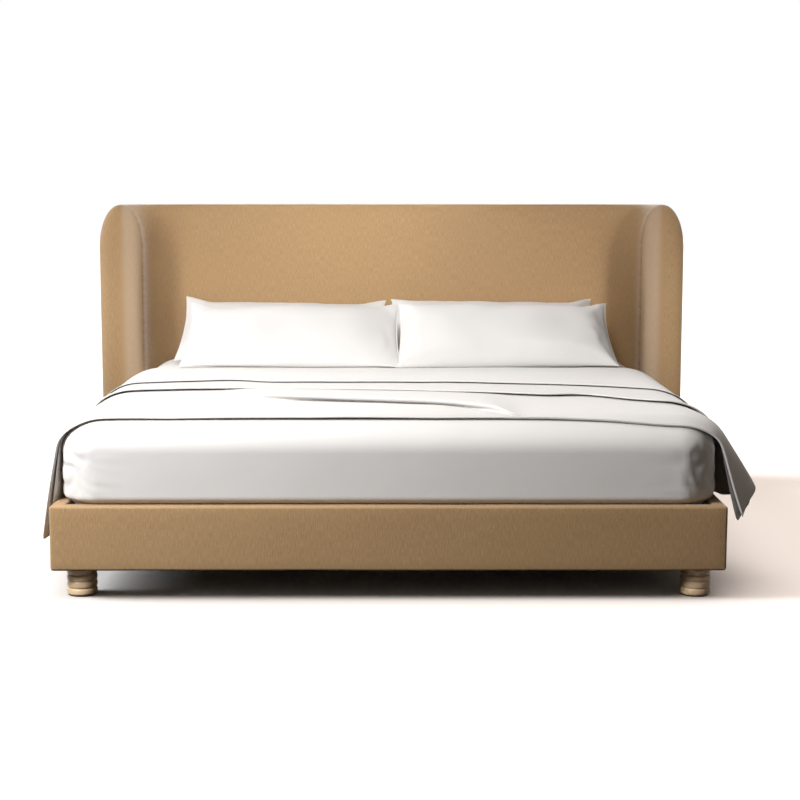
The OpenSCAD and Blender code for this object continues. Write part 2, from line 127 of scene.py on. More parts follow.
def slope_at(points, i):
    """The slope of a line of points at one of them: level at its ends."""
    if i in (0, len(points) - 1):
        return 0.0
    (x0, y0), (x1, y1) = points[i - 1], points[i + 1]
    return (y1 - y0) / (x1 - x0)


def along(points, x):
    """The value at x of the smooth curve through a line of (x, y) points."""
    if x <= points[0][0]:
        return points[0][1]
    for i, ((x0, y0), (x1, y1)) in enumerate(zip(points, points[1:])):
        if x <= x1:
            run, t = x1 - x0, (x - x0) / (x1 - x0)
            start, end = slope_at(points, i) * run, slope_at(points, i + 1) * run
            rise = y1 - y0
            return y0 + start * t + (3 * rise - 2 * start - end) * t * t + (start + end - 2 * rise) * t ** 3
    return points[-1][1]


def spaced(low, high, count):
    return [low + (high - low) * i / (count - 1) for i in range(count)]


def rumple(point, size, depth, seed):
    """A soft random height at a place, the same on each run."""
    return depth * noise.noise(Vector(point) / size + Vector((seed, seed * 2, seed * 3)))


def shade_smooth(piece):
    for face in piece.data.polygons:
        face.use_smooth = True


def show(mesh, name, material, body="bedstead"):
    piece = bpy.data.objects.new(name, mesh)
    bpy.context.scene.collection.objects.link(piece)
    mesh.materials.append(material)
    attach(piece, body)
    return piece


def loft(name, rows, material, closed=False, cap=False, body="bedstead"):
    """A skin over rows of points. Its map, in metres along and down the cloth, carries the weave."""
    count = len(rows[0])
    mesh = bpy.data.meshes.new(name)
    columns = count if closed else count - 1
    faces = []
    for j in range(len(rows) - 1):
        for i in range(columns):
            k = (i + 1) % count
            faces.append((j * count + i, j * count + k, (j + 1) * count + k, (j + 1) * count + i))
    if cap:
        faces.append(tuple(reversed(range(count))))
        last = (len(rows) - 1) * count
        faces.append(tuple(range(last, last + count)))
    mesh.from_pydata([tuple(p) for row in rows for p in row], [], faces)
    across, down = cloth_map(rows, closed)
    layer = mesh.uv_layers.new(name="cloth")
    for face in mesh.polygons:
        wraps = closed and len({v % count for v in face.vertices} & {0, count - 1}) == 2
        for loop in face.loop_indices:
            j, i = divmod(mesh.loops[loop].vertex_index, count)
            u = across[count] if wraps and i == 0 else across[i]
            layer.data[loop].uv = (u, down[j][i])
    piece = show(mesh, name, material, body)
    merge(piece)
    shade_smooth(piece)
    return piece


def cloth_map(rows, closed):
    """Distance along the longest row, closed rings with their whole length last, and down each column."""
    longest = max(rows, key=lambda row: sum((a - b).length for a, b in zip(row, row[1:])))
    ring = longest + longest[:1] if closed else longest
    across = [0.0]
    for a, b in zip(ring, ring[1:]):
        across.append(across[-1] + (b - a).length)
    if not closed:
        across.append(across[-1])
    down = [[0.0] * len(rows[0])]
    for above, row in zip(rows, rows[1:]):
        down.append([d + (b - a).length for d, a, b in zip(down[-1], above, row)])
    return across, down


def merge(piece, distance=0.00002):
    bm = bmesh.new()
    bm.from_mesh(piece.data)
    bmesh.ops.remove_doubles(bm, verts=bm.verts, dist=distance)
    bmesh.ops.dissolve_degenerate(bm, dist=distance / 2, edges=bm.edges)
    bmesh.ops.recalc_face_normals(bm, faces=bm.faces)
    bm.to_mesh(piece.data)
    bm.free()


def apply(piece, modifier, **settings):
    """Adds a modifier and applies it at once."""
    added = piece.modifiers.new(modifier.lower(), modifier)
    for key, value in settings.items():
        setattr(added, key, value)
    mesh = bpy.data.meshes.new_from_object(piece.evaluated_get(bpy.context.evaluated_depsgraph_get()))
    piece.modifiers.remove(added)
    old = piece.data
    piece.data = mesh
    bpy.data.meshes.remove(old)


def thicken(piece, thickness, offset=-1.0):
    apply(piece, "SOLIDIFY", thickness=thickness, offset=offset, use_even_offset=False)
    shade_smooth(piece)
    piece.data.set_sharp_from_angle(angle=math.radians(60))


# ---------- materials ----------

class Shader:
    """A principled shader with short calls for the nodes that feed it."""

    def __init__(self, name, roughness=0.8, **constants):
        self.material = bpy.data.materials.new(name)
        self.material.use_nodes = True
        self.tree = self.material.node_tree
        self.base = self.tree.nodes["Principled BSDF"]
        self.base.inputs["Roughness"].default_value = roughness
        for socket, value in constants.items():
            self.base.inputs[socket.replace("_", " ")].default_value = value
        self.place = self.add("ShaderNodeTexCoord").outputs["Object"]

    def add(self, kind, **settings):
        node = self.tree.nodes.new(kind)
        for key, value in settings.items():
            setattr(node, key, value)
        return node

    def link(self, source, target):
        self.tree.links.new(source, target)

    def use_cloth_map(self):
        self.place = self.add("ShaderNodeUVMap", uv_map="cloth").outputs["UV"]

    def noise(self, scale, detail=2.0, roughness=0.5, distortion=0.0):
        """Noise whose grain is so many cells a metre along each axis."""
        mapping = self.add("ShaderNodeMapping")
        mapping.inputs["Scale"].default_value = scale
        self.link(self.place, mapping.inputs["Vector"])
        texture = self.add("ShaderNodeTexNoise")
        texture.inputs["Scale"].default_value = 1.0
        texture.inputs["Detail"].default_value = detail
        texture.inputs["Roughness"].default_value = roughness
        texture.inputs["Distortion"].default_value = distortion
        self.link(mapping.outputs["Vector"], texture.inputs["Vector"])
        return texture.outputs["Fac"]

    def mix(self, a, b, share):
        """Blends two values, each a number or a socket."""
        node = self.add("ShaderNodeMix", data_type="FLOAT")
        for socket, value in ((node.inputs[0], share), (node.inputs[2], a), (node.inputs[3], b)):
            self.feed(socket, value)
        return node.outputs[0]

    def feed(self, socket, value):
        if isinstance(value, (int, float)):
            socket.default_value = value
        else:
            self.link(value, socket)

    def colours(self, fac, stops, target="Base Color"):
        ramp = self.add("ShaderNodeValToRGB")
        elements = ramp.color_ramp.elements
        while len(elements) < len(stops):
            elements.new(0.5)
        for element, (position, colour) in zip(elements, stops):
            element.position = position
            element.color = (*colour, 1)
        self.link(fac, ramp.inputs["Fac"])
        self.link(ramp.outputs["Color"], self.base.inputs[target])
        return ramp.outputs["Color"]

    def fade_from(self, edge_colour, inner, distance):
        """Lets the colour change gradually over a distance across the cloth, from an edge colour at its
        first edge; the wing facing's painted sheen fades in this way.
        """
        split = self.add("ShaderNodeSeparateXYZ")
        self.link(self.place, split.inputs[0])
        share = self.add("ShaderNodeMapRange", interpolation_type="SMOOTHSTEP")
        share.inputs["From Max"].default_value = distance
        self.link(split.outputs["X"], share.inputs["Value"])
        blend = self.add("ShaderNodeMix", data_type="RGBA")
        blend.inputs["A"].default_value = (*edge_colour, 1)
        self.link(share.outputs["Result"], blend.inputs["Factor"])
        self.link(inner, blend.inputs["B"])
        self.link(blend.outputs["Result"], self.base.inputs["Base Color"])

    def gloss(self, fac, low, high):
        node = self.add("ShaderNodeMapRange")
        node.inputs["To Min"].default_value = low
        node.inputs["To Max"].default_value = high
        self.link(fac, node.inputs["Value"])
        self.link(node.outputs["Result"], self.base.inputs["Roughness"])

    def bump(self, fac, depth, under=None):
        node = self.add("ShaderNodeBump")
        node.inputs["Distance"].default_value = depth
        node.inputs["Strength"].default_value = 1.0
        self.link(fac, node.inputs["Height"])
        if under is not None:
            self.link(under, node.inputs["Normal"])
        self.link(node.outputs["Normal"], self.base.inputs["Normal"])
        return node.outputs["Normal"]


def scaled(colour, factor):
    return tuple(min(c * factor, 1.0) for c in colour)


def linen(name, colour, contrast, slub_depth, edge_colour=None):
    """Upholstery cloth: fine crossed threads, with thicker slubs running up and down."""
    cloth = Shader(name, roughness=0.85, Sheen_Weight=0.5, Sheen_Roughness=0.3, Specular_IOR_Level=0.2)
    cloth.use_cloth_map()
    slubs = cloth.noise((330, 38, 1), detail=4, roughness=0.74)
    fine = cloth.noise((1000, 130, 1), detail=2)
    weft = cloth.noise((120, 640, 1), detail=2)
    threads = cloth.mix(fine, weft, 0.45)
    tone = cloth.mix(slubs, threads, 0.40)
    weave = cloth.colours(tone, [
        (0.36, scaled(colour, 1 - contrast)),
        (0.50, colour),
        (0.64, scaled(colour, 1 + contrast)),
    ])
    # On the wing facing, the painted sheen fades in from the plain tan at its outer edge
    if edge_colour:
        cloth.fade_from(edge_colour, weave, 0.035)
    first = cloth.bump(threads, 0.0006)
    cloth.bump(slubs, slub_depth, first)
    cloth.gloss(tone, 0.92, 0.78)
    return cloth.material


def cotton(name, colour, crease=0.0012):
    """Smooth bed linen: a very fine weave over soft creases."""
    cloth = Shader(name, roughness=0.8, Sheen_Weight=0.15, Sheen_Roughness=0.4, Specular_IOR_Level=0.3)
    weave = cloth.noise((1400, 1400, 1400), detail=1)
    soft = cloth.noise((7, 7, 9), detail=3, roughness=0.5, distortion=0.4)
    cloth.colours(cloth.mix(soft, weave, 0.3), [
        (0.25, scaled(colour, 0.965)),
        (0.75, colour),
    ])
    first = cloth.bump(weave, 0.0001)
    cloth.bump(soft, crease, first)
    cloth.gloss(weave, 0.72, 0.86)
    return cloth.material


def grained(direction, lengthwise, crosswise):
    """Cells a metre on each axis, for streaks that run along one of them."""
    return tuple(lengthwise if axis == direction else crosswise for axis in "XYZ")


def wood(name, pale, dark, direction, gloss=(0.42, 0.6)):
    """Timber with its grain along one axis."""
    timber = Shader(name, roughness=0.5, Coat_Weight=0.15, Coat_Roughness=0.3)
    grain = timber.noise(grained(direction, 2.5, 55), detail=5, roughness=0.6, distortion=1.1)
    pores = timber.noise(grained(direction, 30, 700), detail=2)
    tone = timber.mix(grain, pores, 0.3)
    timber.colours(tone, [(0.3, dark), (0.52, scaled(pale, 0.86)), (0.75, pale)])
    timber.bump(tone, 0.0004)
    timber.gloss(pores, *gloss)
    return timber.material


def steel(name, colour, roughness):
    metal = Shader(name, roughness=roughness, Metallic=1.0)
    brushed = metal.noise((60, 900, 900), detail=3)
    spots = metal.noise((35, 35, 35), detail=4)
    metal.colours(metal.mix(brushed, spots, 0.5), [(0.3, scaled(colour, 0.8)), (0.7, colour)])
    metal.gloss(spots, roughness * 0.8, roughness * 1.3)
    metal.bump(brushed, 0.00008)
    return metal.material


def plastic(name, colour):
    moulded = Shader(name, roughness=0.5, Specular_IOR_Level=0.45)
    grain = moulded.noise((1600, 1600, 1600), detail=2)
    wear = moulded.noise((18, 18, 18), detail=4)
    moulded.colours(wear, [(0.3, colour), (0.8, scaled(colour, 1.35))])
    moulded.bump(grain, 0.00012)
    moulded.gloss(wear, 0.45, 0.62)
    return moulded.material


def ticking(name):
    """Quilted mattress cloth: a knitted ground with soft tufts."""
    cloth = Shader(name, roughness=0.85, Sheen_Weight=0.2)
    knit = cloth.noise((500, 500, 500), detail=2)
    tufts = cloth.noise((14, 14, 14), detail=1)
    cloth.colours(cloth.mix(knit, tufts, 0.4), [(0.3, (0.55, 0.54, 0.52)), (0.7, (0.72, 0.71, 0.69))])
    cloth.bump(tufts, 0.006, cloth.bump(knit, 0.0006))
    cloth.gloss(knit, 0.8, 0.95)
    return cloth.material


TAN = (0.415, 0.266, 0.136)
# The wing facing's paler, greyer tan is painted sheen: the light its front catches, put into the cloth's
# colour
PAINTED_SHEEN_TAN = (0.465, 0.335, 0.220)
upholstery = linen("upholstery cloth", TAN, 0.23, 0.0009)
painted_sheen_facing_cloth = linen("wing facing painted sheen cloth", PAINTED_SHEEN_TAN, 0.08, 0.0003, edge_colour=TAN)
sheet_cotton = cotton("sheet cotton", (0.70, 0.685, 0.672))
blanket_cotton = cotton("blanket cotton", (0.66, 0.642, 0.628))
pillow_cotton = cotton("pillow cotton", (0.665, 0.65, 0.638), crease=0.0006)
mattress_ticking = ticking("mattress ticking")
oak = wood("turned oak", (0.95, 0.70, 0.44), (0.60, 0.37, 0.20), "X", (0.35, 0.5))
PALE_PINE, DARK_PINE = (0.72, 0.55, 0.34), (0.50, 0.33, 0.17)
pine_x, pine_y, pine_z = (wood(f"pine along {axis}", PALE_PINE, DARK_PINE, axis) for axis in "XYZ")
plywood = wood("plywood", (0.66, 0.50, 0.32), (0.48, 0.33, 0.18), "Y", (0.55, 0.7))
zinc = steel("zinc plated steel", (0.66, 0.67, 0.69), 0.32)
black_steel = steel("black steel", (0.035, 0.035, 0.04), 0.42)
dark_plastic = plastic("dark plastic", (0.035, 0.032, 0.030))


# ---------- headboard ----------

FORWARD = Vector((0, -1, 0))
WALL_BOTTOM = FOOT_TOP + 0.001
SEAM_STEPS = (0.0, 0.003, 0.007, 0.013)
# Where the facing ends on the right wing's front, as an angle round it from +X
FACING_END = math.radians(-155)


def seam_dip(distance):
    """How far the cloth pulls in beside a seam."""
    return 0.0010 * math.exp(-(distance / 0.0045) ** 2)


class Column:
    """An upright strip of the headboard: a point on its outline, its middle, and how its top rounds."""

    def __init__(self, outline, middle, top, square=None, dip=0.0):
        self.outline = Vector((*outline, 0))
        self.middle = Vector((*middle, 0))
        self.shoulder, self.fullness = top
        self.square = Vector((*square, 0)) if square else None
        self.dip = dip

    def at(self, z, share):
        """The point at a height, this share of the way from the middle to the outline."""
        reach = self.outline - self.middle
        point = self.middle + reach * share
        if reach.length > self.dip:
            point -= reach.normalized() * self.dip * share
        return point + UP * z

    def rows(self):
        points = []
        if self.square:
            points += [self.square + UP * z for z in (WALL_BOTTOM, HOLLOW_Z - 0.004)]
            first = HOLLOW_Z
        else:
            points += [self.at(WALL_BOTTOM, 0.85), self.at(WALL_BOTTOM, 1)]
            first = WALL_BOTTOM + 0.004
        start = TOP_Z - self.shoulder
        points += [self.at(z, 1) for z in spaced(first, start, 26)]
        for i in range(1, 19):
            angle = math.pi / 2 * i / 18
            share = max(math.cos(angle), 0.0) ** (2 / self.fullness)
            rise = math.sin(angle) ** (2 / self.fullness)
            points.append(self.at(start + self.shoulder * rise, share))
        return points


def fractions(count, length, seams):
    """Places from 0 to 1 along a strip, closer together beside its seams."""
    ends = [s / length for s in SEAM_STEPS]
    inner = spaced(0, 1, count)[1:-1]
    front = ends if seams[0] else [0.0]
    rear = [1 - e for e in reversed(ends)] if seams[1] else [1.0]
    return front + [f for f in inner if front[-1] < f < rear[0]] + rear


def dips(places, length, seams):
    """How far the cloth pulls in at each place along a strip, beside its seams."""
    front = [seam_dip(f * length) if seams[0] else 0.0 for f in places]
    rear = [seam_dip((1 - f) * length) if seams[1] else 0.0 for f in places]
    return [a + b for a, b in zip(front, rear)]


def on_outer(angle):
    """Where a ray from the hollow corner's centre meets the outside of the headboard."""
    dx, dy = math.cos(angle), math.sin(angle)
    far = min((HALF_W - HOLLOW_X) / max(dx, 1e-6), (BACK_Y - NOSE_Y) / max(dy, 1e-6))
    point = Vector((HOLLOW_X + dx * far, NOSE_Y + dy * far))
    centre = Vector((HALF_W - PANEL_T, BACK_Y - PANEL_T))
    if point.x > centre.x and point.y > centre.y:
        start = Vector((HOLLOW_X, NOSE_Y)) - centre
        ray = Vector((dx, dy))
        b = start.dot(ray)
        far = -b + math.sqrt(b * b - start.length_squared + PANEL_T ** 2)
        point = Vector((HOLLOW_X + dx * far, NOSE_Y + dy * far))
    return point


def on_hollow(angle, radius=CORNER_R):
    return Vector((HOLLOW_X + radius * math.cos(angle), NOSE_Y + radius * math.sin(angle)))


def on_square(angle):
    """The square corner behind the hollow one, below the top of the rails."""
    radius = CORNER_R / max(math.cos(angle), math.sin(angle))
    return on_hollow(angle, radius)


def top_at(angle, inside):
    """The shoulder's height and fullness, from the wing's at 0 to the panel's at a right angle."""
    share = smooth(0, math.pi / 2, angle)
    shoulder, fullness = (FACE_SHOULDER, FACE_FULLNESS) if inside else (REAR_SHOULDER, REAR_FULLNESS)
    shoulder = WING_SHOULDER + (shoulder - WING_SHOULDER) * share
    fullness = WING_FULLNESS + (fullness - WING_FULLNESS) * share
    return shoulder, fullness


def on_nose(angle):
    """A point on the front of the right wing's outline, by the angle round it from +X."""
    cos, sin = math.cos(angle), math.sin(angle)
    power = 2 / (NOSE_INNER if cos < 0 else NOSE_OUTER)
    across = math.copysign(abs(cos) ** power, cos)
    return NOSE_X + NOSE_R * across, NOSE_Y - NOSE_R * abs(sin) ** power


def nose_columns(start, end, seams, lined=False):
    """The front of the right wing from one angle to another; lined columns have the hollow wall's rows."""
    length = NOSE_R * abs(end - start)
    places = fractions(15, length, seams)
    columns = []
    for f, dip in zip(places, dips(places, length, seams)):
        outline = on_nose(start + (end - start) * f)
        square = outline if lined else None
        columns.append(Column(outline, (NOSE_X, NOSE_Y), top_at(0, True), square=square, dip=dip))
    return columns


def corner_columns(inside):
    """From the wing's front to the panel, on the inside or the outside."""
    columns = []
    for angle in spaced(0, math.pi / 2, 21):
        inner, outer = on_hollow(angle), on_outer(angle)
        middle = (inner + outer) / 2
        if inside:
            columns.append(Column(inner, middle, top_at(angle, True), square=on_square(angle)))
        else:
            columns.append(Column(outer, middle, top_at(angle, False)))
    return columns


def panel_columns(inside):
    """The panel between the corners, right half."""
    y = FACE_Y if inside else BACK_Y
    middle_y = BACK_Y - PANEL_T / 2
    columns = []
    for x in spaced(HOLLOW_X, 0, 19)[1:]:
        square = (x, y) if inside else None
        columns.append(Column((x, y), (x, middle_y), top_at(math.pi / 2, inside), square=square))
    return columns


def mirrored(points):
    """The same points on the bed's other side."""
    return [Vector((-p.x, p.y, p.z)) for p in points]


def skin_of(columns, both=True):
    """Rows of points, each along the columns; with both, the mirrored left half follows the right."""
    strips = [c.rows() for c in columns]
    if both:
        strips += [mirrored(s) for s in reversed(strips[:-1])]
    return [list(row) for row in zip(*strips)]


def soften(rows, depth, seed):
    """Presses shallow, wide unevenness into upholstery."""
    for row in rows[3:-6]:
        for p in row:
            p.y += rumple(p, 0.28, depth, seed) * smooth(NOSE_Y + 0.03, FACE_Y, p.y)
    return rows


def face_out(piece, way):
    """Makes the faces look along way, on the whole."""
    total = sum((f.normal * f.area for f in piece.data.polygons), Vector())
    if total.dot(way) < 0:
        piece.data.flip_normals()


def finish_cover(cover, way):
    """Turns a cover's faces outwards and gives it the cloth's thickness."""
    face_out(cover, way)
    thicken(cover, FABRIC)


def inside_cover():
    turn_in = nose_columns(FACING_END, -math.pi, (True, False), lined=True)
    rows = skin_of(turn_in[:-1] + corner_columns(True) + panel_columns(True))
    cover = loft("headboard_inside_upholstery", soften(rows, depth=0.0022, seed=3.1), upholstery)
    finish_cover(cover, FORWARD)
    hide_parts("headboard_inside_cover", "headboard_foam", "left_corner_foam", "right_corner_foam")
    return cover


def outside_cover():
    front = nose_columns(-math.pi / 2, 0, (False, False))
    rows = skin_of(front[:-1] + corner_columns(False) + panel_columns(False))
    cover = loft("headboard_outside_upholstery", rows, upholstery)
    finish_cover(cover, -FORWARD)
    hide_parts("headboard_outside_cover", "left_wing_foam", "right_wing_foam")
    return cover


def wing_facing(side):
    """The cloth on the inner half of a wing's front, its paler colour a painted sheen."""
    rows = skin_of(nose_columns(-math.pi / 2, FACING_END, (False, True)), both=False)
    if side == "left":
        rows = [mirrored(row) for row in rows]
    facing = loft(f"{side}_wing_facing_cloth", rows, painted_sheen_facing_cloth)
    finish_cover(facing, FORWARD)
    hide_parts(f"{side}_wing_facing")
    return facing


def headboard():
    """The padded shell's four pieces."""
    return [inside_cover(), outside_cover(), wing_facing("right"), wing_facing("left")]


# ---------- rails and feet ----------

def stops(low, high, radius, step):
    """Places along one side of a soft box, close together over its rounded edges."""
    edge = [radius * f for f in (0.0, 0.15, 0.4, 0.7, 1.0)]
    count = max(2, round((high - low - 2 * radius) / step))
    inner = spaced(low + radius, high - radius, count + 1)[1:-1]
    return [low + e for e in edge] + inner + [high - e for e in reversed(edge)]


RAIL_EDGE = 0.009
SKIN_STEP = 0.03


def soft_box(name, low, high, radius, material, seed):
    """An upholstered block with rounded edges and a faintly uneven skin."""
    lines = [stops(low[i], high[i], radius, SKIN_STEP) for i in range(3)]
    mesh = bpy.data.meshes.new(name)
    bm = bmesh.new()
    layer = bm.loops.layers.uv.new("cloth")
    for axis in range(3):
        u, v = ((1, 2), (0, 2), (0, 1))[axis]
        for end in (low[axis], high[axis]):
            grid = []
            for b in lines[v]:
                row = []
                for a in lines[u]:
                    point = Vector((0, 0, 0))
                    point[axis], point[u], point[v] = end, a, b
                    row.append((bm.verts.new(round_off(point, low, high, radius, seed)), (a, b)))
                grid.append(row)
            for r0, r1 in zip(grid, grid[1:]):
                for i in range(len(r0) - 1):
                    corners = (r0[i], r0[i + 1], r1[i + 1], r1[i])
                    face = bm.faces.new([c[0] for c in corners])
                    for loop, corner in zip(face.loops, corners):
                        loop[layer].uv = corner[1]
    bm.to_mesh(mesh)
    bm.free()
    piece = show(mesh, name, material)
    merge(piece)
    shade_smooth(piece)
    return piece


def round_off(point, low, high, radius, seed):
    """A point of a sharp block, drawn in to the rounded one's skin."""
    core = Vector([min(max(point[i], low[i] + radius), high[i] - radius) for i in range(3)])
    away = point - core
    if away.length < 1e-9:
        return point
    return core + away.normalized() * (radius + rumple(point, 0.16, 0.0012, seed) - 0.0006)


def rails():
    for side in ("foot", "left", "right"):
        cover = f"{side}_rail_cover"
        name = f"{side}_rail_upholstery"
        piece = soft_box(name, low_of(cover), high_of(cover), RAIL_EDGE, upholstery, seed=len(side))
        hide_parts(cover, f"{side}_rail_foam", f"{side}_rail_core")


RING_COUNT = 4
GROOVE = 0.0042


def ring_profile(radius, low, high):
    """The turned side of a foot: soft rings one above the other, with grooves between."""
    points = [(0.0, low)]
    step = (high - low) / RING_COUNT
    for ring in range(RING_COUNT):
        for t in spaced(0, 1, 11)[: None if ring == RING_COUNT - 1 else -1]:
            swell = (1 - abs(2 * t - 1) ** 3.2) ** 0.6
            points.append((radius - GROOVE * (1 - swell), low + step * (ring + t)))
    points.append((0.0, high))
    return points


def turned(name, centre, profile, material, steps=64):
    """A solid of revolution on an upright axis, from its (radius, height) profile."""
    rows = []
    for radius, z in profile:
        rows.append([
            Vector((centre[0] + radius * math.cos(a), centre[1] + radius * math.sin(a), z))
            for a in (math.tau * i / steps for i in range(steps))
        ])
    return loft(name, rows, material, closed=True)


def feet():
    for place in ("front_left", "front_right", "rear_left", "rear_right"):
        node = f"foot_{place}"
        box_low, box_high = low_of(node), high_of(node)
        centre = (box_low + box_high) / 2
        radius = (box_high.x - box_low.x) / 2
        piece = turned(f"turned_{node}", centre, ring_profile(radius, box_low.z, box_high.z), oak)
        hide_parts(node)


# ---------- mattress and fitted sheet ----------

def bed_ring(grow, dist, z, count=18):
    """A level ring round the mattress's core rectangle, at a distance from it."""
    x1, y0, y1 = CORE_X, CORE_FOOT, CORE_HEAD
    corners = (((x1, y0), -90), ((x1, y1), 0), ((-x1, y1), 90), ((-x1, y0), 180))
    points = []
    for index, ((cx, cy), start) in enumerate(corners):
        for i in range(count):
            angle = math.radians(start + 90 * i / (count - 1))
            reach = max(dist + grow, 0.0)
            points.append(Vector((cx + reach * math.cos(angle), cy + reach * math.sin(angle), z)))
        nx, ny = corners[(index + 1) % 4][0]
        last = points[-1]
        turn = math.radians(start + 90)
        target = Vector((nx + reach * math.cos(turn), ny + reach * math.sin(turn), z))
        steps = 40
        points += [last.lerp(target, i / steps) for i in range(1, steps)]
    return points


def bed_profile(bottom):
    """(distance from the core, height) from the top down to the underside, tucked in above the rails."""
    points = [(EDGE_A * math.sin(a), EDGE_Z + EDGE_B * math.cos(a)) for a in spaced(0, math.pi / 2, 15)]
    for z in spaced(EDGE_Z, RAIL_TOP + 0.004, 22)[1:]:
        points.append((EDGE_A - 0.024 * smooth(0.141, 0.163, EDGE_Z - z), z))
    points += [(EDGE_A - 0.032, z) for z in (RAIL_TOP - 0.01, bottom + 0.02)]
    points += [(EDGE_A - 0.036, bottom + 0.006), (EDGE_A - 0.05, bottom + 0.001), (0.0, bottom)]
    return points


def gathered(rows):
    """Puckers the fitted sheet beside its corners, below the top edge."""
    for row in rows:
        for p in row:
            across = abs(p.x) - CORE_X - EDGE_A * 0.7
            up_bed = p.y - CORE_FOOT
            if up_bed < 0:
                up_bed = min(up_bed + EDGE_A * 0.7, 0.0) * 0.7
            off_corner = math.hypot(across, up_bed)
            depth = 0.0030 * bell(off_corner, 0, 0.10) * smooth(RAIL_TOP, RAIL_TOP + 0.04, p.z)
            depth *= 1 - smooth(EDGE_Z, EDGE_Z + 0.05, p.z)
            if depth < 1e-5:
                continue
            run = math.atan2(p.y - CORE_FOOT, abs(p.x) - CORE_X) * EDGE_A + p.y
            away = Vector((p.x, p.y, 0)).normalized()
            p += away * depth * math.sin(run * 260 + 9 * noise.noise(p * 14))
    return rows


def mattress():
    profile = bed_profile(BED_BOTTOM + 0.004)
    rows = [bed_ring(-0.004, dist, z - (0.003 if z > EDGE_Z else 0)) for dist, z in profile]
    piece = loft("stuffed_mattress", rows, mattress_ticking, closed=True, cap=True, body="made_mattress")
    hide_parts("mattress")

    profile = bed_profile(BED_BOTTOM)[:-1]
    rows = gathered([bed_ring(0.0, dist, z) for dist, z in profile])
    rows += [bed_ring(0.0, EDGE_A - turned_under, BED_BOTTOM) for turned_under in (0.09, 0.17)]
    piece = loft("stretched_fitted_sheet", rows, sheet_cotton, closed=True, body="made_mattress")
    close_top(piece, BED_Z)
    face_out(piece, UP)
    thicken(piece, 0.0015)
    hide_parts("fitted_sheet")


def close_top(piece, z):
    """Fills the open ring at a height with one flat face."""
    bm = bmesh.new()
    bm.from_mesh(piece.data)
    rim = [e for e in bm.edges if e.is_boundary and all(abs(v.co.z - z) < 1e-4 for v in e.verts)]
    bmesh.ops.contextual_create(bm, geom=rim)
    bm.to_mesh(piece.data)
    bm.free()


# ---------- blanket and top sheet ----------
# s is a signed distance across a cloth from the bed's middle; outlines are (across, along the bed) points.

class Drape:
    """How bedding lies across the bed at one station: flat, over the rounded edge, and down the side."""

    def __init__(self, side, y, spread):
        self.side = side
        self.y = y
        foot = min(max((CORE_FOOT - y) / EDGE_A, 0.0), 0.98)
        self.sag = EDGE_B * (1 - math.sqrt(1 - foot * foot))
        self.half = EDGE_A + self.lift()
        self.slant = math.radians(self.lean()) * spread
        self.leave = math.atan2(self.half, (EDGE_B - self.sag) * math.tan(self.slant))
        self.arcs = [(0.0, 0.0)]
        steps = 24
        before = self.on_arc(0)
        for i in range(1, steps + 1):
            angle = self.leave * i / steps
            point = self.on_arc(angle)
            self.arcs.append((self.arcs[-1][0] + (point - before).length, angle))
            before = point

    def lift(self):
        """Extra width where the blanket stands off the mattress's edge."""
        if self.side < 0:
            return 0.004 * math.sin(self.y * 9)
        return 0.012 + 0.032 * bell(self.y, -0.83, 0.15) - 0.014 * smooth(-0.98, -1.05, self.y)

    def lean(self):
        """Degrees off upright at which the side hangs."""
        y = self.y
        if self.side < 0:
            waves = 4.0 * math.sin(y * 7.3 + 0.4) + 1.5 * math.sin(y * 17) + 1
            return 8.5 + smooth(-1.0, -0.7, y) * waves
        waves = 5.0 * math.sin(y * 8.1 + 1.0) + 2.5 * math.sin(y * 19 + 2)
        return 18.5 + waves * smooth(-0.75, -0.45, y) + 13 * bell(y, -0.85, 0.12)

    def on_arc(self, angle):
        height = EDGE_B - self.sag
        return Vector((CORE_X + self.half * math.sin(angle), EDGE_Z + height * math.cos(angle)))

    def point(self, s, off):
        """The place at a distance s from the bed's middle, off above the mattress."""
        if s <= CORE_X:
            return Vector((self.side * s, self.y, BED_Z - self.sag + off))
        run = s - CORE_X
        length, last = self.arcs[-1]
        if run >= length:
            hanging = Vector((math.sin(self.slant), -math.cos(self.slant)))
            base = self.on_arc(last) + hanging * (run - length)
            normal = Vector((math.cos(self.slant), math.sin(self.slant)))
        else:
            for (s0, a0), (s1, a1) in zip(self.arcs, self.arcs[1:]):
                if run <= s1:
                    angle = a0 + (a1 - a0) * (run - s0) / (s1 - s0)
                    break
            base = self.on_arc(angle)
            height = EDGE_B - self.sag
            normal = Vector((math.sin(angle) / self.half, math.cos(angle) / height)).normalized()
        place = base + normal * off
        return Vector((self.side * place.x, self.y, place.y))


def stations(left_s, right_s, step=0.035):
    """Signed distances across the cloth, closer together over the bed's edges."""
    edges = [CORE_X + d for d in spaced(0, 0.20, 12)]
    inner = spaced(0, CORE_X, 22)[1:-1]
    left = [-s for s in reversed(edges)] + [-s for s in reversed(inner)]
    right = inner + edges
    left_drop = [-s for s in reversed(spaced(edges[-1], left_s, round((left_s - edges[-1]) / step)))][:-1]
    right_drop = spaced(edges[-1], right_s, round((right_s - edges[-1]) / step))[1:]
    return left_drop + left + [0.0] + right + right_drop


FRONT_EDGE = ((-1.0, -1.028), (-0.84, -1.006), (0.40, -1.000), (0.62, -1.012), (0.88, -1.042))
UPPER_HEM = (
    (-0.95, -0.43), (-0.80, -0.400), (-0.50, -0.370), (-0.07, -0.400), (0.27, -0.470),
    (0.53, -0.545), (0.64, -0.530), (0.78, -0.650), (0.90, -0.720),
)
CUFF_HEM = (
    (-0.95, -0.26), (-0.70, -0.200), (-0.55, -0.160), (-0.42, -0.215), (0.10, -0.222),
    (0.52, -0.285), (0.75, -0.370), (0.95, -0.450),
)
CREASE = ((-0.62, -0.560), (-0.45, -0.610), (0.00, -0.745), (0.18, -0.800), (0.32, -0.925), (0.44, -1.035))
